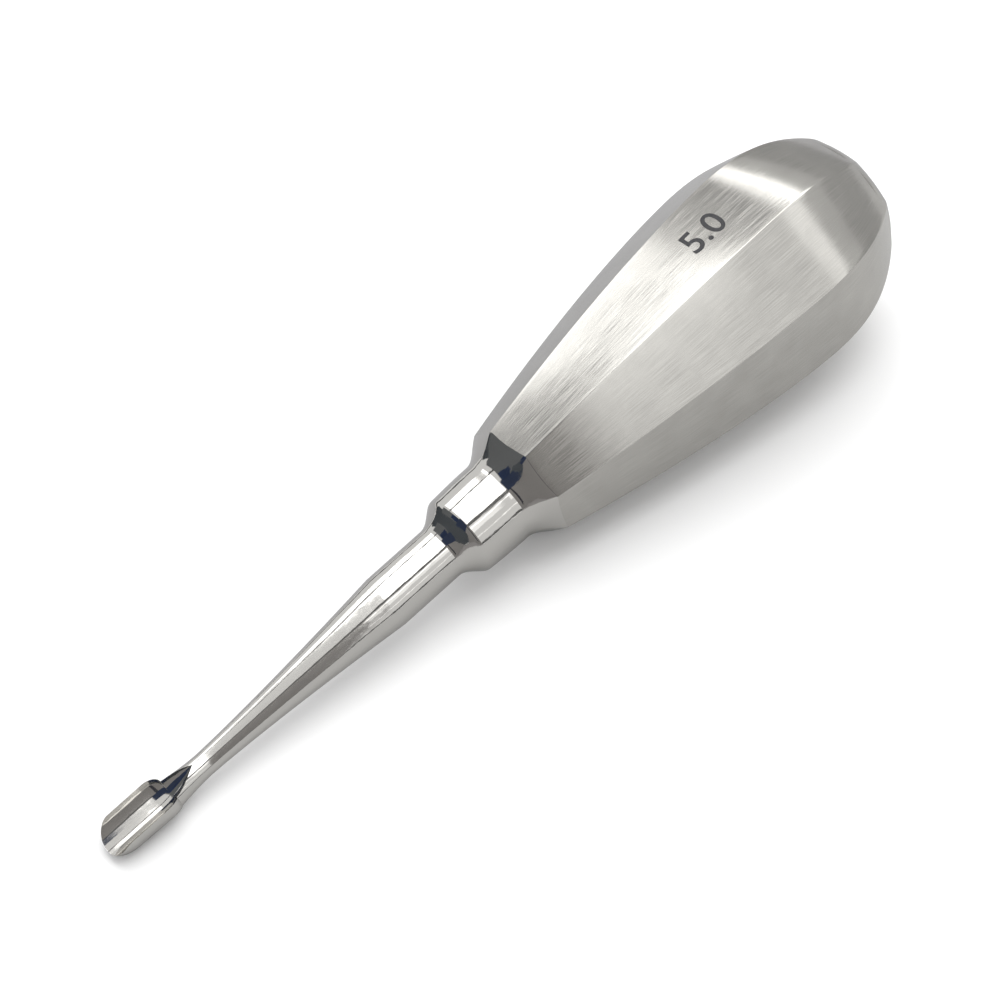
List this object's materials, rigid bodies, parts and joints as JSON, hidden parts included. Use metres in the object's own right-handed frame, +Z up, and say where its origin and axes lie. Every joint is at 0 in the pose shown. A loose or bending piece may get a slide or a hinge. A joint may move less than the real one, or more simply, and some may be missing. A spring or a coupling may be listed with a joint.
{
  "type": "winged elevator",
  "caption": "One-piece steel hand instrument with a scooped, winged tip on a slim tapering shank and a stubby faceted pear-shaped palm handle for loosening teeth.",
  "frame": {"origin": "middle of the bounding box at floor level, with the tool lying as it rests on one handle flat and the underside of its blade", "axes": "+X runs from the tip to the butt, +Z is up, and the scoop and one handle flat face up"},
  "size_m": [0.1204, 0.0262, 0.0267],
  "materials": {
    "stainless_steel": "satin brushed along the handle, polished bright on the coves, collar, shank and blade"
  },
  "bodies": {
    "root": {"elevator": "stainless_steel"}
  },
  "joints": []
}
